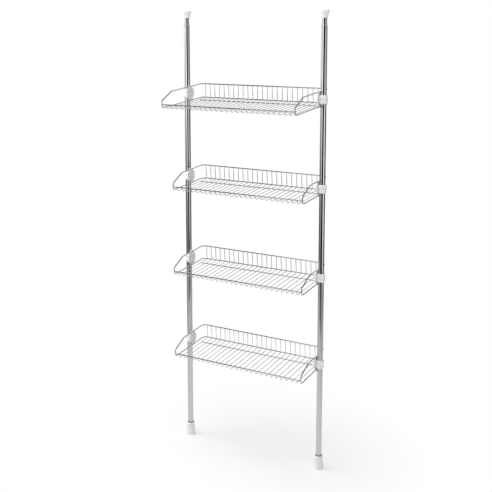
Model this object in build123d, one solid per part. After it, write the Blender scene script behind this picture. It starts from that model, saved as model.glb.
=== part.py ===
from build123d import *
import math
import os

# Shower caddy on two floor-to-ceiling tension poles, with four wire baskets.
# Units are millimetres. +X to the right, -Y to the front, +Z up.
# Origin: floor level, centre of the whole caddy's bounding box in plan.

# ---------------------------------------------------------------- driving sizes
HEIGHT = 2030.0            # floor to the top of the caps, poles pushed right in
POLE_X = 341.5             # half the distance between the pole axes
POLE_Y = 67.388            # plane of the pole axes, behind the middle of the baskets
TUBE_R = 13.0              # outer tubes, 26 mm
TUBE_WALL = 1.0
INNER_R = 11.0             # telescopic inner tubes, 22 mm
TUBE_SPLIT_Z = 715.0       # butt joint between lower and upper tube
UPPER_TOP_Z = 1967.0       # mouth of the upper tube
FIT = 0.05                 # radial clearance of every running fit

FOOT_H = 62.0
FOOT_BASE_R = 22.0
FOOT_TOP_R = 15.6
RING_TOP_Z = 66.5
CAP_H = 32.0
CAP_TOP_R = 21.0
CAP_LOW_R = 14.2
CAP_TRAVEL = 11.0          # spring travel of a cap
INNER_LEN = 748.0
EXTENSION = 600.0          # how far an inner tube can be drawn out

RIM_R = 2.5                # basket rim wire, 5 mm
FRONT_RAIL_R = 2.5
SUPPORT_R = 2.0
FLOOR_R = 1.5              # floor wires, 3 mm
HALF_W = 322.5             # rim wire centre line to the basket's middle
WIRE_PITCH = 25.0
WIRE_COUNT = 25
BACK_Y = 93.5              # back rails behind the pole axes
RIM_Z = 31.5               # top and lower rim wire above and below the tilt axis
FLOOR_Z = -33.5
FRONT_RAIL_Z = -17.0
SUPPORT_Y = 42.5
CORNER_R = 22.0
TILT = 4.3                 # degrees, front edge low

# name, height of the tilt axis, knee of the side wires, front of the basket
SHELVES = [
    ("top", 1659.0, -153.5, -231.6),
    ("upper", 1277.0, -79.0, -154.0),
    ("lower", 885.0, -79.0, -154.0),
    ("bottom", 492.0, -79.0, -154.0),
]

# clamp: offsets run from the pole axis towards the basket
WIRE_OFF = POLE_X - HALF_W       # 19
CLAMP_R = 17.8
CLAMP_H = 36.0
PAD_OFF = 14.2                   # flat face that carries the disc
BOSS_R = 10.0
BOSS_OFF = 16.4
DISC_R = 29.5                    # fits between the two side wires
DISC_BACK = 14.3
DISC_FRONT = 17.5
LUG_FRONT = 21.9                 # the clips at the disc's edge stand round the wires
LUG_HALF = 10.0
RIVET_R = 2.5
RIVET_HEAD_R = 13.5
EAR_HALF = 6.5
EAR_SCREW_Y = 21.5


# ---------------------------------------------------------------- helpers
def turned(points):
    """Solid of revolution about Z from (radius, height) points."""
    outline = Polyline(*[(r, 0, z) for r, z in points], close=True)
    return revolve(make_face(outline), Axis.Z)


def along_x(radius, x0, x1, y=0.0, z=0.0):
    return Pos((x0 + x1) / 2, y, z) * Rot(0, 90, 0) * Cylinder(radius, abs(x1 - x0))


def along_y(radius, y0, y1, x=0.0, z=0.0):
    return Pos(x, (y0 + y1) / 2, z) * Rot(90, 0, 0) * Cylinder(radius, abs(y1 - y0))


def block(x0, x1, y0, y1, z0, z1):
    return Pos((x0 + x1) / 2, (y0 + y1) / 2, (z0 + z1) / 2) * Box(abs(x1 - x0), abs(y1 - y0), abs(z1 - z0))


def bent_wire(points, radii, radius):
    path = FilletPolyline(*points, radius=radii)
    section = Plane(origin=path @ 0, z_dir=path % 0) * Circle(radius)
    return sweep(section, path=path)


def solids_of(shape):
    return list(shape.solids())


parts = {}


def keep(name, solids):
    """Collects the solids of one node."""
    found = []
    for item in solids if isinstance(solids, (list, tuple)) else [solids]:
        found += solids_of(item)
    parts[name] = found


# ---------------------------------------------------------------- poles
def foot():
    outline = [
        (0, 0), (FOOT_BASE_R - 1.2, 0), (FOOT_BASE_R, 1.2), (FOOT_BASE_R, 5.0), (FOOT_BASE_R - 1.0, 7.0),
        (FOOT_TOP_R + 0.4, FOOT_H - 2.0), (FOOT_TOP_R - 0.3, FOOT_H), (TUBE_R + FIT, FOOT_H), (TUBE_R + FIT, 8.0), (0, 8.0),
    ]
    body = turned(outline)
    lean = math.degrees(math.atan2(FOOT_BASE_R - 1.0 - FOOT_TOP_R - 0.4, FOOT_H - 9.0))
    mid_r = (FOOT_BASE_R - 1.0 + FOOT_TOP_R + 0.4) / 2
    for k in range(20):
        rib = Rot(0, 0, k * 18.0) * (Pos(mid_r + 0.1, 0, (FOOT_H + 5.0) / 2) * Rot(0, -lean, 0) * Cylinder(0.9, FOOT_H - 13.0))
        body = body + rib
    return body


def foot_ring():
    return turned([(TUBE_R + FIT, FOOT_H), (15.0, FOOT_H), (15.3, FOOT_H + 0.8), (15.3, RING_TOP_Z - 0.8), (14.6, RING_TOP_Z), (TUBE_R + FIT, RING_TOP_Z)])


def pipe(r_out, wall, z0, z1, lip=0.25):
    r_in = r_out - wall
    return turned([(r_in, z0), (r_out - lip, z0), (r_out, z0 + lip), (r_out, z1 - lip), (r_out - lip, z1), (r_in, z1)])


def joiner():
    r = TUBE_R - TUBE_WALL - FIT
    return turned([(r - 2.2, TUBE_SPLIT_Z - 60), (r - 0.8, TUBE_SPLIT_Z - 60), (r, TUBE_SPLIT_Z - 58), (r, TUBE_SPLIT_Z + 58), (r - 0.8, TUBE_SPLIT_Z + 60), (r - 2.2, TUBE_SPLIT_Z + 60)])


def guide_bush():
    r = TUBE_R - TUBE_WALL - FIT
    z = UPPER_TOP_Z
    return turned([(INNER_R + FIT, z - 50), (r, z - 50), (r, z), (TUBE_R - 0.1, z), (TUBE_R - 0.1, z + 1.2), (TUBE_R - 0.7, z + 1.8), (INNER_R + FIT, z + 1.8)])


INNER_TOP = HEIGHT - CAP_H + 6.0
STEM_R = INNER_R - TUBE_WALL - FIT
STEM_LOW = INNER_TOP - 106.0
SPRING_LOW = STEM_LOW - 70.0


def inner_tube():
    return pipe(INNER_R, TUBE_WALL, INNER_TOP - INNER_LEN, INNER_TOP)


def spring_seat():
    return turned([(0, SPRING_LOW - 20), (STEM_R - 0.5, SPRING_LOW - 20), (STEM_R, SPRING_LOW - 19.5), (STEM_R, SPRING_LOW - 1), (6.0, SPRING_LOW - 1), (5.6, SPRING_LOW), (0, SPRING_LOW)])


def spring():
    mean, wire, turns = 7.2, 0.9, 10
    low, high = SPRING_LOW + wire + 0.1, STEM_LOW - wire - 0.1
    coil = Pos(0, 0, low) * Helix(pitch=(high - low) / turns, height=high - low, radius=mean)
    return sweep(Plane(origin=coil @ 0, z_dir=coil % 0) * Circle(wire), path=coil, is_frenet=True)


def top_cap():
    base, top = HEIGHT - CAP_H, HEIGHT
    cavity = INNER_TOP + CAP_TRAVEL + 1.0
    return turned([
        (INNER_R + 0.8, base), (CAP_LOW_R - 0.6, base), (CAP_LOW_R, base + 0.8), (CAP_LOW_R + 0.6, base + 6.0),
        (CAP_LOW_R + 2.4, base + 14.0), (CAP_TOP_R - 1.2, base + 22.0), (CAP_TOP_R, base + 24.5), (CAP_TOP_R, top - 1.6), (CAP_TOP_R - 1.4, top),
        (0, top), (0, STEM_LOW), (STEM_R - 1.0, STEM_LOW), (STEM_R, STEM_LOW + 1.0), (STEM_R, cavity), (INNER_R + 0.8, cavity),
    ])


for side, sign in (("left", -1), ("right", 1)):
    at = Pos(sign * POLE_X, POLE_Y, 0)
    keep(f"{side}_foot", at * foot())
    keep(f"{side}_foot_ring", at * foot_ring())
    keep(f"{side}_lower_tube", at * pipe(TUBE_R, TUBE_WALL, 8.0, TUBE_SPLIT_Z))
    keep(f"{side}_tube_joiner", at * joiner())
    keep(f"{side}_upper_tube", at * pipe(TUBE_R, TUBE_WALL, TUBE_SPLIT_Z, UPPER_TOP_Z))
    keep(f"{side}_guide_bush", at * guide_bush())
    keep(f"{side}_inner_tube", at * inner_tube())
    keep(f"{side}_spring_seat", at * spring_seat())
    keep(f"{side}_spring", at * spring())
    keep(f"{side}_top_cap", at * top_cap())


# ---------------------------------------------------------------- clamps, built at the left pole's axis
def clamp():
    h = CLAMP_H / 2
    lines = [
        Line((TUBE_R + FIT, 0, -h), (CLAMP_R - 1.5, 0, -h)),
        ThreePointArc((CLAMP_R - 1.5, 0, -h), (CLAMP_R, 0, -h / 2 - 0.8), (CLAMP_R - 1.9, 0, -1.2)),
        Line((CLAMP_R - 1.9, 0, -1.2), (CLAMP_R - 1.9, 0, 1.2)),
        ThreePointArc((CLAMP_R - 1.9, 0, 1.2), (CLAMP_R, 0, h / 2 + 0.8), (CLAMP_R - 1.5, 0, h)),
        Line((CLAMP_R - 1.5, 0, h), (TUBE_R + FIT, 0, h)),
        Line((TUBE_R + FIT, 0, h), (TUBE_R + FIT, 0, -h)),
    ]
    body = revolve(make_face(Wire(lines)), Axis.Z)
    body = body - block(PAD_OFF, 30, -30, 30, -30, 30)
    body = body + along_x(16.5, 11.0, PAD_OFF) + along_x(BOSS_R, 11.0, BOSS_OFF)
    ears = fillet(block(-EAR_HALF, EAR_HALF, 13.5, 27.5, -8, 8).edges().filter_by(Axis.X), 3.0)
    body = body + ears
    body = body - Cylinder(TUBE_R + FIT, 80)
    body = body - block(-1.0, 1.0, 10, 40, -30, 30)
    body = body - along_x(2.1, -20, 10.0, EAR_SCREW_Y, 0)
    body = body - along_x(RIVET_R, 10.0, 30)
    return body


def disc():
    plate = along_x(DISC_R, DISC_BACK, DISC_FRONT)
    plate = fillet(plate.edges().filter_by(GeomType.CIRCLE), 0.9)
    for sign in (-1, 1):
        z0, z1 = sorted((sign * 25.5, sign * 35.4))
        lug = block(DISC_BACK, LUG_FRONT, -LUG_HALF, LUG_HALF, z0, z1)
        lug = fillet(lug.edges().filter_by(Axis.X), 2.2)
        lug = fillet(lug.faces().sort_by(Axis.X)[-1].edges(), 0.9)
        plate = plate + lug
    plate = plate - (along_x(25.0, DISC_FRONT - 0.5, DISC_FRONT + 0.6) - along_x(16.5, DISC_FRONT - 2, DISC_FRONT + 2))
    plate = plate - along_x(BOSS_R + FIT, 10, 30) - along_x(RIVET_HEAD_R + 0.15, BOSS_OFF, 30)
    for z in (-RIM_Z, RIM_Z):
        plate = plate - along_y(RIM_R + FIT, -50, 50, WIRE_OFF, z)
        plate = plate - block(WIRE_OFF, 30, -50, 50, z - 2.2, z + 2.2)
    return plate


def pivot_rivet():
    shank = along_x(RIVET_R, 13.4, BOSS_OFF + 0.2)
    head = fillet(along_x(RIVET_HEAD_R, BOSS_OFF + 0.1, DISC_FRONT + 0.2).edges().filter_by(GeomType.CIRCLE).sort_by(Axis.X)[-1:], 0.6)
    return shank + head


def clamp_screw():
    screw = along_x(2.0, -EAR_HALF - 0.1, 9.6, EAR_SCREW_Y) + along_x(3.4, -EAR_HALF - 2.6, -EAR_HALF - 0.1, EAR_SCREW_Y)
    screw = screw - block(-EAR_HALF - 3, -EAR_HALF - 1.6, EAR_SCREW_Y - 4, EAR_SCREW_Y + 4, -0.5, 0.5)
    nut = Pos(EAR_HALF + 0.1, EAR_SCREW_Y, 0) * Rot(0, 90, 0) * extrude(RegularPolygon(3.6, 6), 2.4)
    nut = nut - along_x(2.05, 0, 20, EAR_SCREW_Y)
    return screw, nut


left_clamp = Pos(-POLE_X, POLE_Y, 0) * clamp()
left_disc = Rot(TILT, 0, 0) * (Pos(-POLE_X, 0, 0) * disc())
left_pivot = Pos(-POLE_X, 0, 0) * pivot_rivet()
screw_a, nut_a = clamp_screw()
left_screw = Pos(-POLE_X, POLE_Y, 0) * screw_a
left_nut = Pos(-POLE_X, POLE_Y, 0) * nut_a


# ---------------------------------------------------------------- baskets, built about their tilt axis
def rim(knee, front):
    points = [
        (0, BACK_Y, RIM_Z), (HALF_W, BACK_Y, RIM_Z), (HALF_W, knee, RIM_Z), (HALF_W, front, 0.0),
        (HALF_W, front, -RIM_Z), (HALF_W, BACK_Y, -RIM_Z), (0, BACK_Y, -RIM_Z),
    ]
    half = bent_wire(points, [CORNER_R, 26.0, 12.0, 12.0, CORNER_R], RIM_R)
    return half + mirror(half, about=Plane.YZ)


def floor_wire(front):
    bend = 8.0
    back = BACK_Y - 2.3
    points = [(0, back, RIM_Z - 1.0), (0, back, FLOOR_Z), (0, front, FLOOR_Z), (0, front, FRONT_RAIL_Z - 1.0)]
    return bent_wire(points, [bend, bend], FLOOR_R)


for name, height, knee, front in SHELVES:
    place = Pos(0, POLE_Y, height)
    tilted = place * Rot(TILT, 0, 0)
    keep(f"{name}_basket_rim", tilted * rim(knee, front))
    keep(f"{name}_front_rail", tilted * along_x(FRONT_RAIL_R, -HALF_W + 1.0, HALF_W - 1.0, front, FRONT_RAIL_Z))
    keep(f"{name}_support_rail", tilted * along_x(SUPPORT_R, -302.5, 302.5, SUPPORT_Y, FLOOR_Z - FLOOR_R - SUPPORT_R + 0.4))
    wire = floor_wire(front)
    first = -(WIRE_COUNT - 1) / 2 * WIRE_PITCH
    keep(f"{name}_floor_wires", [tilted * Pos(first + k * WIRE_PITCH, 0, 0) * wire for k in range(WIRE_COUNT)])
    keep(f"{name}_left_disc", place * left_disc)
    keep(f"{name}_right_disc", place * mirror(left_disc, about=Plane.YZ))
    keep(f"{name}_left_clamp", Pos(0, 0, height) * left_clamp)
    keep(f"{name}_right_clamp", Pos(0, 0, height) * mirror(left_clamp, about=Plane.YZ))
    keep(f"{name}_pivot_rivets", [place * left_pivot, place * mirror(left_pivot, about=Plane.YZ)])
    lift = Pos(0, 0, height)
    keep(f"{name}_clamp_screws", [lift * left_screw, lift * left_nut, lift * mirror(left_screw, about=Plane.YZ), lift * mirror(left_nut, about=Plane.YZ)])


# ---------------------------------------------------------------- files
os.makedirs("parts", exist_ok=True)
low = [1e9] * 3
high = [-1e9] * 3
for name, solids in parts.items():
    shape = solids[0] if len(solids) == 1 else Compound(children=[Solid(s.wrapped) for s in solids])
    export_step(shape, f"parts/{name}.step")
    for s in solids:
        b = s.bounding_box()
        for i, (a, c) in enumerate(((b.min.X, b.max.X), (b.min.Y, b.max.Y), (b.min.Z, b.max.Z))):
            low[i], high[i] = min(low[i], a), max(high[i], c)
print(len(parts), "nodes", sum(len(s) for s in parts.values()), "solids")
print("box", [round(v, 3) for v in low], [round(v, 3) for v in high], "Y centre", round((low[1] + high[1]) / 2, 3))
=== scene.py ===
import math

import bpy
import numpy as np
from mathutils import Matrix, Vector


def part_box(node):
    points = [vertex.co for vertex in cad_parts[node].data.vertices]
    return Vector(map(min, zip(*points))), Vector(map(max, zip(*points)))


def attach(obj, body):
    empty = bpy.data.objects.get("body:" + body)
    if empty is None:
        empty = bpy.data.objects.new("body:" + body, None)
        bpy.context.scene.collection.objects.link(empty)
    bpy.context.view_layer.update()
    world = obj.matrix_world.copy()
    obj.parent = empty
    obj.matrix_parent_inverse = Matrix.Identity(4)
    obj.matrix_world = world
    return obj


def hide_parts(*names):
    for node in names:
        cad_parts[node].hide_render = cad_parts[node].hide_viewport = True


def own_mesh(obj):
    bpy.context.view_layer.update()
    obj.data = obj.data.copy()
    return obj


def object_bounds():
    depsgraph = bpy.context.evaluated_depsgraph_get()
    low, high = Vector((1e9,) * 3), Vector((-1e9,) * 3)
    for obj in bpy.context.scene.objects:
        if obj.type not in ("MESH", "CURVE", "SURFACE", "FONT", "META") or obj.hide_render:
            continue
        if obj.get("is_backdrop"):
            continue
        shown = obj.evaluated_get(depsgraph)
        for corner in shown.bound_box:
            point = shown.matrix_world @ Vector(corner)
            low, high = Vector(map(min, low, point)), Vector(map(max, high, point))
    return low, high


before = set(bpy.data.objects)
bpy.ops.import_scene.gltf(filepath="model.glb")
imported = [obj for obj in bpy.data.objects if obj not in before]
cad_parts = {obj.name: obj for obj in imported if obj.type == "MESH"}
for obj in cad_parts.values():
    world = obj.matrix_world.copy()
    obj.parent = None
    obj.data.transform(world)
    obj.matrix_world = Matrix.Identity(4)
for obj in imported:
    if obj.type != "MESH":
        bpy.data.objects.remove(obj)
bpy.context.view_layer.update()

scene = bpy.context.scene
scene.view_settings.view_transform = "Standard"
scene.view_settings.look = "None"
scene.view_settings.exposure = 0.0
scene.view_settings.gamma = 1.0

# ------------------------------------------------------------------ sizes, in metres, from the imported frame
SIDES = ("left", "right")
SHELVES = ("top", "upper", "lower", "bottom")
TILT = math.radians(4.3)


def centre(node):
    low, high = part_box(node)
    return (low + high) / 2


def top_of(node):
    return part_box(node)[1].z


def bottom_of(node):
    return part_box(node)[0].z


POLE = {s: centre(f"{s}_lower_tube") for s in SIDES}
TUBE_R = (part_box("left_lower_tube")[1].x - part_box("left_lower_tube")[0].x) / 2
INNER_R = (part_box("left_inner_tube")[1].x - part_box("left_inner_tube")[0].x) / 2
WALL = 0.001
SPLIT_Z = top_of("left_lower_tube")
MOUTH_Z = top_of("left_upper_tube")
AXIS_Z = {s: centre(f"{s}_left_clamp").z for s in SHELVES}

RIM_R = 0.0025
RAIL_R = 0.0025
SUPPORT_R = 0.002
FLOOR_R = 0.0015
HALF_W = 0.3225
BACK_Y = 0.0935
RIM_Z = 0.0315
FLOOR_Z = -0.0335
RAIL_Z = -0.017
SUPPORT_Y = 0.0425
SUPPORT_Z = FLOOR_Z - FLOOR_R - SUPPORT_R + 0.0004
CORNER_R = 0.022
PITCH = 0.025
WIRES = 25
KNEE = {"top": -0.1535, "upper": -0.079, "lower": -0.079, "bottom": -0.079}
FRONT = {"top": -0.2316, "upper": -0.154, "lower": -0.154, "bottom": -0.154}


# ------------------------------------------------------------------ mesh helpers
def make(name, verts, faces, sharp=None):
    mesh = bpy.data.meshes.new(name)
    mesh.from_pydata([tuple(float(c) for c in v) for v in verts], [], faces)
    mesh.validate()
    mesh.update()
    mesh.polygons.foreach_set("use_smooth", [True] * len(mesh.polygons))
    if sharp is not None:
        mesh.set_sharp_from_angle(angle=math.radians(sharp))
    obj = bpy.data.objects.new(name, mesh)
    scene.collection.objects.link(obj)
    return obj


class Shape:
    """Collects the surfaces of one piece."""

    def __init__(self):
        self.verts = []
        self.faces = []

    def add(self, verts, faces):
        base = len(self.verts)
        self.verts.extend(verts)
        self.faces.extend([tuple(i + base for i in f) for f in faces])

    def moved(self, fn):
        self.verts = [fn(v) for v in self.verts]
        return self

    def build(self, name, sharp=None):
        return make(name, self.verts, self.faces, sharp)


def rounded(points, radii, steps=5, closed=True):
    """2-D outline with each corner turned into an arc."""
    out = []
    n = len(points)
    for i, p in enumerate(points):
        r = radii[i] if hasattr(radii, "__len__") else radii
        if r <= 0 or (not closed and i in (0, n - 1)):
            out.append(tuple(p))
            continue
        p = np.array(p, float)
        a = np.array(points[(i - 1) % n], float) - p
        b = np.array(points[(i + 1) % n], float) - p
        la, lb = np.linalg.norm(a), np.linalg.norm(b)
        a, b = a / la, b / lb
        half = math.acos(max(-1, min(1, float(a @ b)))) / 2
        if half > math.radians(88):
            out.append(tuple(p))
            continue
        cut = min(r / math.tan(half), 0.48 * la, 0.48 * lb)
        r = cut * math.tan(half)
        mid = (a + b) / np.linalg.norm(a + b)
        c = p + mid * (r / math.sin(half))
        s, e = p + a * cut - c, p + b * cut - c
        turn = math.acos(max(-1, min(1, float(s @ e) / (r * r))))
        count = max(2, int(math.ceil(turn / (math.pi / 2) * steps)))
        for k in range(count + 1):
            t = k / count
            w = (math.sin((1 - t) * turn) * s + math.sin(t * turn) * e) / math.sin(turn)
            out.append(tuple(c + w))
    return out


def lathe(points, seg=96, wobble=None):
    """Surface of revolution about Z. A closed outline that stays off the axis makes a ring, one that starts and ends on it is capped there."""
    verts, faces = [], []
    ends = [abs(points[0][0]) < 1e-9, abs(points[-1][0]) < 1e-9]
    body = points[1 if ends[0] else 0: len(points) - 1 if ends[1] else len(points)]
    for j in range(seg):
        a = 2 * math.pi * j / seg
        for r, z in body:
            rr = r if wobble is None else r + wobble(r, z, a)
            verts.append((rr * math.cos(a), rr * math.sin(a), z))
    n = len(body)
    rows = n if not any(ends) else n - 1
    for j in range(seg):
        k = (j + 1) % seg
        for i in range(rows):
            i2 = (i + 1) % n
            faces.append((j * n + i, k * n + i, k * n + i2, j * n + i2))
    if ends[0]:
        verts.append((0, 0, points[0][1]))
        c = len(verts) - 1
        faces += [(c, ((j + 1) % seg) * n, j * n) for j in range(seg)]
    if ends[1]:
        verts.append((0, 0, points[-1][1]))
        c = len(verts) - 1
        faces += [(c, j * n + n - 1, ((j + 1) % seg) * n + n - 1) for j in range(seg)]
    return verts, faces


def outward(obj):
    """Makes every closed surface of the mesh face outwards."""
    import bmesh
    bm = bmesh.new()
    bm.from_mesh(obj.data)
    bmesh.ops.recalc_face_normals(bm, faces=bm.faces)
    bm.to_mesh(obj.data)
    bm.free()
    obj.data.update()
    return obj


def bent(points, radii, step=math.radians(7.5), run=0.02):
    """3-D route of straight runs joined by arcs. radii has one entry for each inner corner, or for every corner of a closed route."""
    pts = [np.array(p, float) for p in points]
    closed = len(radii) == len(pts)
    n = len(pts)
    out = []

    def put(p):
        if not out or np.linalg.norm(out[-1] - p) > 1e-7:
            out.append(p)

    for i in range(n):
        if not closed and i in (0, n - 1):
            put(pts[i])
            continue
        r = radii[i] if closed else radii[i - 1]
        p = pts[i]
        a, b = pts[(i - 1) % n] - p, pts[(i + 1) % n] - p
        a, b = a / np.linalg.norm(a), b / np.linalg.norm(b)
        half = math.acos(max(-1, min(1, float(a @ b)))) / 2
        cut = r / math.tan(half)
        mid = (a + b) / np.linalg.norm(a + b)
        c = p + mid * (r / math.sin(half))
        s, e = p + a * cut - c, p + b * cut - c
        turn = math.pi - 2 * half
        count = max(4, int(math.ceil(turn / step)))
        for k in range(count + 1):
            t = k / count
            put(c + (math.sin((1 - t) * turn) * s + math.sin(t * turn) * e) / math.sin(turn))
    if closed and np.linalg.norm(out[0] - out[-1]) < 1e-7:
        out.pop()
    full = []
    m = len(out)
    for i in range(m if closed else m - 1):
        p, q = out[i], out[(i + 1) % m]
        parts = max(1, int(math.ceil(np.linalg.norm(q - p) / run)))
        full += [p + (q - p) * k / parts for k in range(parts)]
    if not closed:
        full.append(out[-1])
    return full, closed


def swept(route, closed, radius, sides=16, dome=0.45):
    """Round wire along a route. Open ends are domed over."""
    pts = np.array(route, float)
    n = len(pts)
    if closed:
        tang = np.roll(pts, -1, 0) - np.roll(pts, 1, 0)
    else:
        tang = np.zeros_like(pts)
        tang[1:-1] = pts[2:] - pts[:-2]
        tang[0], tang[-1] = pts[1] - pts[0], pts[-1] - pts[-2]
    tang /= np.linalg.norm(tang, axis=1)[:, None]
    up = np.array((0.0, 0.0, 1.0)) if abs(tang[0][2]) < 0.8 else np.array((1.0, 0.0, 0.0))
    u = np.cross(up, tang[0])
    u /= np.linalg.norm(u)
    frames = [u]
    for i in range(1, n):
        u = frames[-1] - tang[i] * (frames[-1] @ tang[i])
        frames.append(u / np.linalg.norm(u))
    if closed:
        last = frames[-1] - tang[0] * (frames[-1] @ tang[0])
        last /= np.linalg.norm(last)
        v0 = np.cross(tang[0], frames[0])
        twist = math.atan2(float(last @ v0), float(last @ frames[0]))
        for i in range(n):
            a = -twist * i / n
            v = np.cross(tang[i], frames[i])
            frames[i] = frames[i] * math.cos(a) + v * math.sin(a)
    rings = []
    for i in range(n):
        rings.append((pts[i], tang[i], frames[i], radius))
    if not closed:
        def end(p, t, f, sign):
            made = []
            for k in range(1, 4):
                a = math.pi / 2 * k / 4
                made.append((p + sign * t * (radius * dome * math.sin(a)), t, f, radius * math.cos(a)))
            return made
        rings = list(reversed(end(pts[0], tang[0], frames[0], -1))) + rings + end(pts[-1], tang[-1], frames[-1], 1)
    verts, faces = [], []
    for p, t, f, r in rings:
        v = np.cross(t, f)
        for k in range(sides):
            a = 2 * math.pi * k / sides
            verts.append(tuple(p + (f * math.cos(a) + v * math.sin(a)) * r))
    m = len(rings)
    for i in range(m if closed else m - 1):
        j = (i + 1) % m
        for k in range(sides):
            l = (k + 1) % sides
            faces.append((i * sides + k, i * sides + l, j * sides + l, j * sides + k))
    if not closed:
        for i, sign in ((0, -1), (m - 1, 1)):
            p, t, f, r = rings[i]
            verts.append(tuple(p + sign * t * radius * dome * 0.06))
            c = len(verts) - 1
            for k in range(sides):
                l = (k + 1) % sides
                faces.append((c, i * sides + l, i * sides + k) if sign < 0 else (c, i * sides + k, i * sides + l))
    return verts, faces


def bead(at, half, rows=6, seg=12):
    """Small weld nugget, a flattened round bead with its longer sides along the wires."""
    verts, faces = [], []
    for i in range(1, rows):
        a = math.pi * i / rows - math.pi / 2
        for k in range(seg):
            b = 2 * math.pi * k / seg
            verts.append((at[0] + half[0] * math.cos(a) * math.cos(b), at[1] + half[1] * math.cos(a) * math.sin(b), at[2] + half[2] * math.sin(a)))
    n = rows - 1
    for i in range(n - 1):
        for k in range(seg):
            l = (k + 1) % seg
            faces.append((i * seg + k, i * seg + l, (i + 1) * seg + l, (i + 1) * seg + k))
    verts.append((at[0], at[1], at[2] - half[2]))
    verts.append((at[0], at[1], at[2] + half[2]))
    lo, hi = len(verts) - 2, len(verts) - 1
    for k in range(seg):
        l = (k + 1) % seg
        faces.append((lo, l, k))
        faces.append((hi, (n - 1) * seg + k, (n - 1) * seg + l))
    return verts, faces


# ------------------------------------------------------------------ materials
def material(name):
    mat = bpy.data.materials.new(name)
    mat.use_nodes = True
    nodes, links = mat.node_tree.nodes, mat.node_tree.links
    nodes.clear()
    out = nodes.new("ShaderNodeOutputMaterial")
    bsdf = nodes.new("ShaderNodeBsdfPrincipled")
    links.new(bsdf.outputs["BSDF"], out.inputs["Surface"])
    return mat, nodes, links, bsdf


def coords(nodes, links, scale):
    tc = nodes.new("ShaderNodeTexCoord")
    mp = nodes.new("ShaderNodeMapping")
    mp.inputs["Scale"].default_value = scale
    links.new(tc.outputs["Object"], mp.inputs["Vector"])
    return mp.outputs["Vector"]


def noise(nodes, links, vector, scale, detail=3.0, rough=0.5):
    n = nodes.new("ShaderNodeTexNoise")
    n.inputs["Scale"].default_value = scale
    n.inputs["Detail"].default_value = detail
    n.inputs["Roughness"].default_value = rough
    links.new(vector, n.inputs["Vector"])
    return n.outputs["Fac"]


def ramp(nodes, links, fac, stops):
    r = nodes.new("ShaderNodeValToRGB")
    r.color_ramp.elements[0].position, r.color_ramp.elements[0].color = stops[0][0], stops[0][1]
    r.color_ramp.elements[1].position, r.color_ramp.elements[1].color = stops[-1][0], stops[-1][1]
    for p, c in stops[1:-1]:
        e = r.color_ramp.elements.new(p)
        e.color = c
    links.new(fac, r.inputs["Fac"])
    return r.outputs["Color"]


def spread(nodes, links, fac, low, high, frm=(0.3, 0.7)):
    m = nodes.new("ShaderNodeMapRange")
    m.inputs["From Min"].default_value, m.inputs["From Max"].default_value = frm
    m.inputs["To Min"].default_value, m.inputs["To Max"].default_value = low, high
    links.new(fac, m.inputs["Value"])
    return m.outputs["Result"]


def bump(nodes, links, height, strength, distance, under=None):
    b = nodes.new("ShaderNodeBump")
    b.inputs["Strength"].default_value = strength
    b.inputs["Distance"].default_value = distance
    links.new(height, b.inputs["Height"])
    if under is not None:
        links.new(under, b.inputs["Normal"])
    return b.outputs["Normal"]


def grey(v, warm=0.0):
    return (v * (1 + warm), v, v * (1 - warm), 1.0)


def chrome(name, low, high, rough, streak, streak_scale, peel=0.06, cool=-0.012, grain=0.10):
    """Plated metal: slow clouding, fine polishing marks along one direction and a slight orange peel."""
    mat, nodes, links, bsdf = material(name)
    bsdf.inputs["Metallic"].default_value = 1.0
    bsdf.inputs["Specular IOR Level"].default_value = 0.5
    even = coords(nodes, links, (1, 1, 1))
    drawn = coords(nodes, links, streak)
    cloud = noise(nodes, links, even, 38.0, 4.0, 0.55)
    marks = noise(nodes, links, drawn, streak_scale, 2.0, 0.6)
    skin = noise(nodes, links, even, 900.0, 1.0, 0.4)
    links.new(ramp(nodes, links, cloud, [(0.32, grey(low, cool)), (0.68, grey(high, cool))]), bsdf.inputs["Base Color"])
    mix = nodes.new("ShaderNodeMath")
    mix.operation = "MULTIPLY_ADD"
    mix.inputs[1].default_value = 0.55
    links.new(marks, mix.inputs[0])
    half = nodes.new("ShaderNodeMath")
    half.operation = "MULTIPLY"
    half.inputs[1].default_value = 0.45
    links.new(cloud, half.inputs[0])
    links.new(half.outputs[0], mix.inputs[2])
    links.new(spread(nodes, links, mix.outputs[0], rough[0], rough[1]), bsdf.inputs["Roughness"])
    first = bump(nodes, links, marks, grain, 0.00005)
    links.new(bump(nodes, links, skin, peel, 0.00010, first), bsdf.inputs["Normal"])
    return mat


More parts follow.
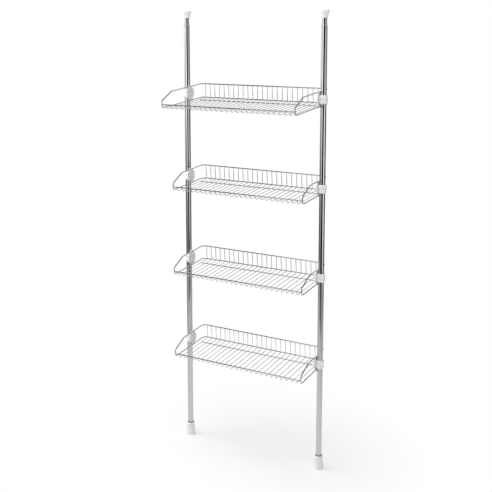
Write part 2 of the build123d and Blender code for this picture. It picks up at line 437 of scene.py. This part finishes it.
def plastic(name, low, high, rough, grain=0.25, sss=0.06, warm=0.004, scuff=0.03):
    """Moulded plastic: even colour with slight clouding, spark-eroded grain and a few light handling marks."""
    mat, nodes, links, bsdf = material(name)
    bsdf.inputs["Specular IOR Level"].default_value = 0.45
    bsdf.inputs["IOR"].default_value = 1.49
    if sss:
        bsdf.inputs["Subsurface Weight"].default_value = sss
        bsdf.inputs["Subsurface Scale"].default_value = 0.0025
        bsdf.inputs["Subsurface Radius"].default_value = (1.0, 0.95, 0.9)
    even = coords(nodes, links, (1, 1, 1))
    cloud = noise(nodes, links, even, 70.0, 3.0, 0.5)
    fine = noise(nodes, links, even, 2600.0, 2.0, 0.6)
    rub = noise(nodes, links, coords(nodes, links, (1.0, 1.0, 0.25)), 420.0, 3.0, 0.7)
    base = ramp(nodes, links, cloud, [(0.3, grey(low, warm)), (0.7, grey(high, warm))])
    shade = nodes.new("ShaderNodeMix")
    shade.data_type = "RGBA"
    shade.inputs["B"].default_value = grey(low * 0.9, warm * 2)
    links.new(base, shade.inputs["A"])
    links.new(spread(nodes, links, rub, 0.0, scuff * 6, (0.60, 0.85)), shade.inputs["Factor"])
    links.new(shade.outputs["Result"], bsdf.inputs["Base Color"])
    links.new(spread(nodes, links, rub, rough[0], rough[1]), bsdf.inputs["Roughness"])
    links.new(bump(nodes, links, fine, grain, 0.00004), bsdf.inputs["Normal"])
    return mat


M_TUBE = chrome("chrome_tube_polish", 0.60, 0.65, (0.02, 0.04), (30, 30, 1.2), 60.0, peel=0.006, grain=0.02)
M_INNER = chrome("chrome_inner_polish", 0.57, 0.62, (0.02, 0.05), (30, 30, 1.2), 60.0, peel=0.006, grain=0.02)
M_RIM = chrome("chrome_rim_plate", 0.56, 0.64, (0.06, 0.14), (1.5, 12, 12), 90.0, peel=0.10)
M_WIRE = chrome("chrome_wire_plate", 0.72, 0.82, (0.08, 0.17), (12, 1.5, 12), 110.0, peel=0.12)
# The foot ring is metal, but its darker tone is painted shade of the gap where the tube goes into the foot.
M_RING_PAINTED_SHADE = chrome("foot_ring_metal_painted_shade", 0.30, 0.38, (0.14, 0.26), (2, 2, 24), 200.0)
M_SCREW = chrome("zinc_screw_plate", 0.50, 0.62, (0.20, 0.36), (8, 8, 8), 500.0, peel=0.2)
M_SPRING = chrome("spring_steel_wire", 0.34, 0.44, (0.22, 0.36), (10, 10, 10), 700.0, peel=0.2)
M_WHITE = plastic("white_moulded_plastic", 0.81, 0.86, (0.30, 0.44))
M_DISC = plastic("disc_moulded_plastic", 0.80, 0.86, (0.34, 0.48), grain=0.35)
M_GREY = plastic("grey_moulded_plastic", 0.42, 0.48, (0.40, 0.55), sss=0.0)


# The lock button is real, but its near-black colour is painted shade: the dark of the button hole at the tube joint,
# put into the button itself.
M_BUTTON_PAINTED_SHADE = plastic("lock_button_painted_shade", 0.030, 0.045, (0.34, 0.48), sss=0.0)


def dress(obj, mat):
    obj.data.materials.clear()
    obj.data.materials.append(mat)
    return obj


def finish_piece(obj, mat, body, nodes):
    dress(obj, mat)
    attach(obj, body)
    if nodes:
        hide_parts(*nodes)
    return obj


# ------------------------------------------------------------------ poles
def at_pole(side, shape):
    c = POLE[side]
    return shape.moved(lambda v: (v[0] + c.x, v[1] + c.y, v[2]))


def pipe(r, wall, z0, z1, lip=0.0004):
    return rounded([(r - wall, z0), (r, z0), (r, z1), (r - wall, z1)], [lip * 0.6, lip, lip, lip * 0.6], 4)


def long_ring(points, seg=96, run=0.05):
    """Adds rows along long straight stretches of a closed outline, so that no face is a sliver."""
    full = []
    for i, p in enumerate(points):
        q = points[(i + 1) % len(points)]
        d = math.dist(p, q)
        parts = max(1, int(math.ceil(d / run)))
        shares = [k / parts for k in range(parts)]
        if d > 0.01:
            shares = sorted(set(shares + [0.0003 / d, 0.0012 / d, 1 - 0.0012 / d, 1 - 0.0003 / d]))
        full += [(p[0] + (q[0] - p[0]) * t, p[1] + (q[1] - p[1]) * t) for t in shares]
    return lathe(full, seg)


def foot_shape():
    base_r, top_r, h = 0.022, 0.0156, bottom_of("left_foot_ring")
    bore = TUBE_R + 0.00005
    outline = rounded([(0, 0), (base_r - 0.0002, 0), (base_r, 0.0058), (base_r - 0.0012, 0.0072), (top_r + 0.0004, h - 0.0024), (top_r - 0.0002, h), (bore, h), (bore, 0.008), (0, 0.008)],
                      [0, 0.0013, 0.0008, 0.0008, 0.0012, 0.0006, 0.0003, 0.0003, 0], 4, closed=False)
    rows = []
    for i in range(len(outline) - 1):
        p, q = outline[i], outline[i + 1]
        tall = abs(q[1] - p[1]) > 0.02 and p[0] > bore + 0.0005
        parts = 16 if tall else 1
        rows += [(p[0] + (q[0] - p[0]) * k / parts, p[1] + (q[1] - p[1]) * k / parts) for k in range(parts)]
    rows.append(outline[-1])

    def rib(r, z, a):
        if r < bore + 0.0009 or z < 0.0078 or z > h - 0.0045:
            return 0.0
        fade = min(1.0, (z - 0.0078) / 0.003, (h - 0.0045 - z) / 0.0035)
        s = abs(((a * 20 / (2 * math.pi)) % 1.0) - 0.5) * 2
        t = max(0.0, min(1.0, (s - 0.52) / 0.30))
        return 0.00085 * (t * t * (3 - 2 * t)) * max(0.0, fade)

    shape = Shape()
    shape.add(*lathe(rows, 320, rib))
    return shape


def ring_shape():
    z0, z1 = bottom_of("left_foot_ring"), top_of("left_foot_ring")
    shape = Shape()
    shape.add(*lathe(rounded([(0.01305, z0), (0.0150, z0), (0.0153, z0 + 0.0012), (0.0153, z1 - 0.0012), (0.0146, z1), (0.01305, z1)], [0.0002, 0.0004, 0.0008, 0.0008, 0.0006, 0.0003], 5), 96))
    return shape


def bush_shape():
    z = MOUTH_Z
    top = top_of("left_guide_bush")
    bore, r = INNER_R + 0.00005, TUBE_R - WALL - 0.00005
    shape = Shape()
    shape.add(*long_ring(rounded([(bore, z - 0.05), (r, z - 0.05), (r, z - 0.00005), (TUBE_R - 0.0001, z + 0.00005), (TUBE_R - 0.0001, top - 0.0004), (TUBE_R - 0.0007, top), (bore, top)],
                                 [0.0002, 0.0004, 0, 0.0002, 0.0004, 0.0004, 0.0003], 4), 96))
    return shape


def cap_shape():
    base, top = bottom_of("left_top_cap"), top_of("left_top_cap")
    head = top - 0.032
    bore, stem = INNER_R + 0.0008, INNER_R - WALL - 0.00005
    cavity = top - 0.014
    outline = rounded([
        (0, base), (stem - 0.0008, base), (stem, base + 0.001), (stem, cavity), (bore, cavity), (bore, head), (0.0136, head), (0.0142, head + 0.0010),
        (0.0148, head + 0.0060), (0.0166, head + 0.0140), (0.0198, head + 0.0220), (0.0210, head + 0.0250), (0.0210, top - 0.0016), (0.0196, top),
        (0.0172, top), (0.0168, top - 0.0006), (0.0120, top - 0.0006), (0.0116, top), (0, top)],
        [0, 0.0004, 0.0004, 0.0004, 0.0004, 0.0004, 0.0005, 0.0006, 0.020, 0.018, 0.008, 0.002, 0.0012, 0.0012, 0.0003, 0.0003, 0.0003, 0.0003, 0], 6, closed=False)
    shape = Shape()
    shape.add(*lathe(outline, 128))
    return shape


def button_shape(z, turn=math.radians(9.0), r=TUBE_R):
    """Head of the spring button that locks two tube lengths, a small dome standing out of the tube wall."""
    shape = Shape()
    prof = rounded([(0, 0.0007), (0.0019, 0.0006), (0.0026, -0.0001), (0.0026, -0.0008), (0, -0.0008)], [0, 0.0007, 0.0003, 0.0002, 0], 5, closed=False)
    verts, faces = lathe(prof, 40)
    c, sn = math.cos(turn), math.sin(turn)
    shape.add([(v[0] * c + (r + v[2]) * sn, v[0] * sn - (r + v[2]) * c, z + v[1]) for v in verts], faces)
    return shape


def spring_shape(low, high, mean=0.0072, wire=0.0009, turns=10, per_turn=30):
    """Steel coil between the seat and the end of the cap's stem."""
    count = turns * per_turn
    a, b = low + wire, high - wire
    route = [(mean * math.cos(2 * math.pi * k / per_turn), mean * math.sin(2 * math.pi * k / per_turn), a + (b - a) * k / count) for k in range(count + 1)]
    shape = Shape()
    shape.add(*swept(route, False, wire, 12))
    return shape


for side in SIDES:
    finish_piece(outward(at_pole(side, foot_shape()).build(f"{side}_foot_moulding", 40)), M_WHITE, "root", [f"{side}_foot"])
    # ring on top of the foot, darkened as painted shade of the gap round the tube
    finish_piece(outward(at_pole(side, ring_shape()).build(f"{side}_foot_ring_painted_shade", 50)), M_RING_PAINTED_SHADE, "root", [f"{side}_foot_ring"])
    low = Shape()
    low.add(*long_ring(pipe(TUBE_R, WALL, bottom_of(f"{side}_lower_tube"), SPLIT_Z)))
    finish_piece(outward(at_pole(side, low).build(f"{side}_lower_tube_chrome", 50)), M_TUBE, "root", [f"{side}_lower_tube"])
    up = Shape()
    up.add(*long_ring(pipe(TUBE_R, WALL, SPLIT_Z, MOUTH_Z)))
    finish_piece(outward(at_pole(side, up).build(f"{side}_upper_tube_chrome", 50)), M_TUBE, "root", [f"{side}_upper_tube"])
    finish_piece(outward(at_pole(side, bush_shape()).build(f"{side}_guide_bush_moulding", 50)), M_GREY, "root", [f"{side}_guide_bush"])
    # lock button in near black, painted shade of its hole
    finish_piece(outward(at_pole(side, button_shape(SPLIT_Z - 0.0045)).build(f"{side}_lock_button", 50)), M_BUTTON_PAINTED_SHADE, "root", [])
    inner = Shape()
    inner.add(*long_ring(pipe(INNER_R, WALL, bottom_of(f"{side}_inner_tube"), top_of(f"{side}_inner_tube"))))
    finish_piece(outward(at_pole(side, inner).build(f"{side}_inner_tube_chrome", 50)), M_INNER, f"{side}_inner_pole", [f"{side}_inner_tube"])
    finish_piece(outward(at_pole(side, cap_shape()).build(f"{side}_top_cap_moulding", 40)), M_WHITE, f"{side}_cap", [f"{side}_top_cap"])
    # the coil shortens from its seat as the cap is pushed down, by the cap's 11 mm of travel; here it only rides with
    # the inner pole on a mesh of its own
    seat_z, coil_z = bottom_of(f"{side}_spring"), top_of(f"{side}_spring")
    coil = finish_piece(outward(at_pole(side, spring_shape(seat_z, coil_z)).build(f"{side}_coil_spring")), M_SPRING, f"{side}_inner_pole", [f"{side}_spring"])
    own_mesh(coil)

# ------------------------------------------------------------------ baskets
def tilted(shelf, shape):
    cy, cz = POLE["left"].y, AXIS_Z[shelf]
    c, s = math.cos(TILT), math.sin(TILT)
    return shape.moved(lambda v: (v[0], cy + v[1] * c - v[2] * s, cz + v[1] * s + v[2] * c))


for shelf in SHELVES:
    knee, front = KNEE[shelf], FRONT[shelf]
    body = f"{shelf}_basket"

    corners = [(HALF_W, BACK_Y, RIM_Z), (HALF_W, knee, RIM_Z), (HALF_W, front, 0), (HALF_W, front, -RIM_Z), (HALF_W, BACK_Y, -RIM_Z),
               (-HALF_W, BACK_Y, -RIM_Z), (-HALF_W, front, -RIM_Z), (-HALF_W, front, 0), (-HALF_W, knee, RIM_Z), (-HALF_W, BACK_Y, RIM_Z)]
    radii = [CORNER_R, 0.026, 0.012, 0.012, CORNER_R, CORNER_R, 0.012, 0.012, 0.026, CORNER_R]
    rim = Shape()
    rim.add(*swept(*bent(corners, radii, math.radians(5.0), 0.03), RIM_R, 24))
    finish_piece(outward(tilted(shelf, rim).build(f"{shelf}_rim_wire")), M_RIM, body, [f"{shelf}_basket_rim"])

    rail = Shape()
    rail.add(*swept(*bent([(-HALF_W + 0.001, front, RAIL_Z), (HALF_W - 0.001, front, RAIL_Z)], [], run=0.03), RAIL_R, 24))
    for sx in (-1, 1):
        rail.add(*bead((sx * (HALF_W - 0.0019), front, RAIL_Z), (0.0016, 0.0029, 0.0030)))
    finish_piece(outward(tilted(shelf, rail).build(f"{shelf}_front_rail_wire")), M_RIM, body, [f"{shelf}_front_rail"])

    support = Shape()
    support.add(*swept(*bent([(-0.3025, SUPPORT_Y, SUPPORT_Z), (0.3025, SUPPORT_Y, SUPPORT_Z)], [], run=0.03), SUPPORT_R, 20))
    finish_piece(outward(tilted(shelf, support).build(f"{shelf}_support_rail_wire")), M_RIM, body, [f"{shelf}_support_rail"])

    back = BACK_Y - 0.0023
    route, closed = bent([(0, back, RIM_Z - 0.001), (0, back, FLOOR_Z), (0, front, FLOOR_Z), (0, front, RAIL_Z - 0.001)], [0.008, 0.008], math.radians(9), 0.03)
    one_v, one_f = swept(route, closed, FLOOR_R, 16)
    wires = Shape()
    for k in range(WIRES):
        x = (k - (WIRES - 1) / 2) * PITCH
        wires.add([(v[0] + x, v[1], v[2]) for v in one_v], one_f)
        for at, half in (
            ((x, back + 0.0006, RIM_Z - 0.0010), (0.0021, 0.0012, 0.0019)),
            ((x, back + 0.0006, -RIM_Z + 0.0004), (0.0021, 0.0012, 0.0022)),
            ((x, SUPPORT_Y, FLOOR_Z - 0.0014), (0.0022, 0.0021, 0.0010)),
            ((x, front, RAIL_Z - 0.0022), (0.0021, 0.0019, 0.0012)),
        ):
            wires.add(*bead(at, half))
    finish_piece(outward(tilted(shelf, wires).build(f"{shelf}_floor_wire_set")), M_WIRE, body, [f"{shelf}_floor_wires"])

# ------------------------------------------------------------------ carried-over CAD nodes
KEEP = {
    "clamp": M_WHITE, "disc": M_DISC, "pivot_rivets": M_DISC, "clamp_screws": M_SCREW,
    "tube_joiner": M_GREY, "spring_seat": M_GREY, "spring": M_SPRING,
}
for name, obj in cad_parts.items():
    if obj.hide_render:
        continue
    for key, mat in KEEP.items():
        if name.endswith(key):
            dress(obj, mat)
            break

# ------------------------------------------------------------------ stage
def stage_only(obj, glossy=False):
    obj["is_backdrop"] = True
    if glossy:
        obj.visible_camera = False
        obj.visible_diffuse = False
        obj.visible_glossy = True
        obj.visible_transmission = False
        obj.visible_volume_scatter = False
        obj.visible_shadow = False
    return obj


def floor():
    rings, seg = [0.0, 0.3, 0.8, 1.5, 2.5, 4.0, 9.0, 20.0, 40.0], 64
    shape = Shape()
    shape.add(*lathe([(r, 0.0) for r in rings], seg))
    obj = shape.build("studio_floor")
    mat, nodes, links, bsdf = material("studio_floor_paint")
    bsdf.inputs["Roughness"].default_value = 0.9
    bsdf.inputs["Specular IOR Level"].default_value = 0.1
    cloud = noise(nodes, links, coords(nodes, links, (1, 1, 1)), 2.0, 2.0)
    links.new(ramp(nodes, links, cloud, [(0.3, grey(0.93)), (0.7, grey(0.95))]), bsdf.inputs["Base Color"])
    # the floor runs out into an evenly lit white sweep
    glow = nodes.new("ShaderNodeEmission")
    glow.inputs["Color"].default_value = grey(1.0)
    glow.inputs["Strength"].default_value = 1.0
    dist = nodes.new("ShaderNodeVectorMath")
    dist.operation = "LENGTH"
    links.new(coords(nodes, links, (1, 1, 0)), dist.inputs[0])
    mix = nodes.new("ShaderNodeMixShader")
    links.new(spread(nodes, links, dist.outputs["Value"], 0.0, 1.0, (0.0, 0.85)), mix.inputs["Fac"])
    links.new(bsdf.outputs["BSDF"], mix.inputs[1])
    links.new(glow.outputs[0], mix.inputs[2])
    out = next(n for n in nodes if n.type == "OUTPUT_MATERIAL")
    links.new(mix.outputs[0], out.inputs["Surface"])
    dress(obj, mat)
    return stage_only(obj)


def glow(name, stops, axis="Z"):
    """Even light of its own, graded along one axis of the piece's own space."""
    mat = bpy.data.materials.new(name)
    mat.use_nodes = True
    nodes, links = mat.node_tree.nodes, mat.node_tree.links
    nodes.clear()
    out = nodes.new("ShaderNodeOutputMaterial")
    em = nodes.new("ShaderNodeEmission")
    em.inputs["Strength"].default_value = 1.0
    links.new(em.outputs[0], out.inputs["Surface"])
    tc = nodes.new("ShaderNodeTexCoord")
    sep = nodes.new("ShaderNodeSeparateXYZ")
    links.new(tc.outputs["Object"], sep.inputs[0])
    lo, hi = stops[0][0], stops[-1][0]
    m = nodes.new("ShaderNodeMapRange")
    m.inputs["From Min"].default_value, m.inputs["From Max"].default_value = lo, hi
    links.new(sep.outputs[axis], m.inputs["Value"])
    links.new(ramp(nodes, links, m.outputs["Result"], [((p - lo) / (hi - lo), grey(v)) for p, v in stops]), em.inputs["Color"])
    return mat


def wall(name, az0, az1, dist, stops, z1=2.7):
    """Curved panel that only reflections see, at a distance round the middle of the object. Azimuth 0 is straight in front, 90 to the right. stops are (height, brightness)."""
    steps = max(6, int(abs(az1 - az0) / 3))
    verts, faces = [], []
    for i in range(steps + 1):
        a = math.radians(az0 + (az1 - az0) * i / steps)
        for z in (0.0, z1):
            verts.append((dist * math.sin(a), -dist * math.cos(a), z))
    for i in range(steps):
        faces.append((2 * i, 2 * i + 2, 2 * i + 3, 2 * i + 1))
    return stage_only(dress(make(name, verts, faces), glow(name + "_light", stops)), glossy=True)


def canopy(name, az0, az1, el0, el1, dist, stops):
    """Part of a dome above the object, seen by reflections only."""
    steps, rows = max(6, int(abs(az1 - az0) / 5)), 8
    verts, faces = [], []
    for i in range(steps + 1):
        a = math.radians(az0 + (az1 - az0) * i / steps)
        for k in range(rows + 1):
            e = math.radians(el0 + (el1 - el0) * k / rows)
            verts.append((dist * math.sin(a) * math.cos(e), -dist * math.cos(a) * math.cos(e), 1.0 + dist * math.sin(e)))
    n = rows + 1
    for i in range(steps):
        for k in range(rows):
            faces.append((i * n + k, (i + 1) * n + k, (i + 1) * n + k + 1, i * n + k + 1))
    return stage_only(dress(make(name, verts, faces), glow(name + "_light", stops)), glossy=True)


def reflected_floor(stops):
    """The studio floor as reflections see it, light round the object and darker away from it. stops are (radius, brightness)."""
    far = stops[-1][0]
    shape = Shape()
    shape.add(*lathe([(r, 0.0015) for r in (0.0, 0.3, 0.8, 1.5, 2.5, 4.0, far)], 64))
    mat = bpy.data.materials.new("reflected_floor_light")
    mat.use_nodes = True
    nodes, links = mat.node_tree.nodes, mat.node_tree.links
    nodes.clear()
    out = nodes.new("ShaderNodeOutputMaterial")
    em = nodes.new("ShaderNodeEmission")
    em.inputs["Strength"].default_value = 1.0
    dist = nodes.new("ShaderNodeVectorMath")
    dist.operation = "LENGTH"
    links.new(coords(nodes, links, (1 / far, 1 / far, 0)), dist.inputs[0])
    links.new(ramp(nodes, links, dist.outputs["Value"], [(r / far, grey(v)) for r, v in stops]), em.inputs["Color"])
    links.new(em.outputs[0], out.inputs["Surface"])
    return stage_only(dress(shape.build("reflected_floor"), mat), glossy=True)


floor()
reflected_floor([(0.0, 0.88), (0.6, 0.84), (1.0, 0.78), (1.4, 0.70), (1.8, 0.58), (2.2, 0.48), (3.0, 0.38), (8.0, 0.28)])
wall("dark_panel_front", 1, 60, 1.9, [(0.0, 0.26), (0.08, 0.20), (0.22, 0.10), (0.38, 0.002), (2.7, 0.002)])
wall("grey_panel_right", 60, 92, 2.3, [(0.0, 0.36), (0.15, 0.52), (0.46, 1.05), (0.9, 1.28), (1.3, 1.15), (1.9, 0.62), (2.7, 0.55)])
wall("dark_panel_right", 92, 150, 2.5, [(0.0, 0.42), (0.3, 0.14), (1.2, 0.09), (1.9, 0.36), (2.7, 0.50)])
wall("grey_panel_back", 150, 255, 2.8, [(0.0, 0.50), (0.6, 0.34), (1.4, 0.28), (2.7, 0.28)])
wall("white_panel_front_left", -27, 1, 3.2, [(0.0, 0.30), (0.38, 0.58), (0.7, 1.00), (1.08, 1.60), (1.5, 2.05), (2.2, 2.1), (2.3, 0.5), (2.7, 0.4)])
wall("dark_gap_left", -54, -27, 3.2, [(0.0, 0.12), (0.8, 0.06), (1.5, 0.12), (2.7, 0.12)])
wall("white_panel_left", -105, -54, 3.2, [(0.0, 0.22), (0.4, 0.20), (1.08, 0.50), (1.5, 1.2), (1.9, 1.65), (2.7, 1.75)])
canopy("dark_ceiling", 0, 360, 40, 90, 4.2, [(1.0, 0.06), (5.2, 0.06)])
canopy("dark_ceiling_left", -64, -24, 8, 44, 4.1, [(1.0, 0.05), (5.2, 0.05)])
canopy("light_ceiling_front", -22, 40, 18, 62, 4.0, [(1.0, 1.05), (5.2, 1.05)])
canopy("light_ceiling_back", 140, 250, 16, 52, 4.0, [(1.0, 1.0), (5.2, 1.0)])


def soft_light(name, at, aim, size, radiance):
    data = bpy.data.lights.new(name, "AREA")
    data.shape = "RECTANGLE"
    data.size, data.size_y = size
    data.energy = radiance * math.pi * size[0] * size[1]
    obj = bpy.data.objects.new(name, data)
    obj.location = at
    obj.rotation_euler = (Vector(aim) - Vector(at)).to_track_quat("-Z", "Y").to_euler()
    obj.visible_glossy = False
    scene.collection.objects.link(obj)
    return obj


soft_light("key_left", (-3.7, -1.35, 2.5), (0, 0, 1.1), (2.8, 3.4), 2.3)
soft_light("overhead", (-0.6, -1.2, 4.3), (0, 0, 0), (3.4, 3.4), 3.0)

world = bpy.data.worlds.new("studio")
scene.world = world
world.use_nodes = True
wn, wl = world.node_tree.nodes, world.node_tree.links
wn.clear()
w_out = wn.new("ShaderNodeOutputWorld")
w_mix = wn.new("ShaderNodeMixShader")
w_lit = wn.new("ShaderNodeBackground")
w_lit.inputs["Color"].default_value = grey(1.0)
w_lit.inputs["Strength"].default_value = 0.46
w_seen = wn.new("ShaderNodeBackground")
w_seen.inputs["Color"].default_value = grey(1.0)
w_seen.inputs["Strength"].default_value = 1.0
w_ray = wn.new("ShaderNodeLightPath")
wl.new(w_ray.outputs["Is Camera Ray"], w_mix.inputs["Fac"])
wl.new(w_lit.outputs[0], w_mix.inputs[1])
wl.new(w_seen.outputs[0], w_mix.inputs[2])
wl.new(w_mix.outputs[0], w_out.inputs["Surface"])

# ------------------------------------------------------------------ camera
cam = bpy.data.cameras.new("camera")
cam.sensor_width = 36.0
cam.lens = 64.5107
cam.shift_x = 0.0
cam.shift_y = -0.17254
cam_obj = bpy.data.objects.new("camera", cam)
cam_obj.location = (1.88596, -3.30934, 1.98253)
cam_obj.rotation_euler = (math.radians(90.0 - 9.0), 0.0, math.radians(29.6099))
scene.collection.objects.link(cam_obj)
scene.camera = cam_obj

# ------------------------------------------------------------------ sizes
bpy.context.view_layer.update()
low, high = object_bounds()
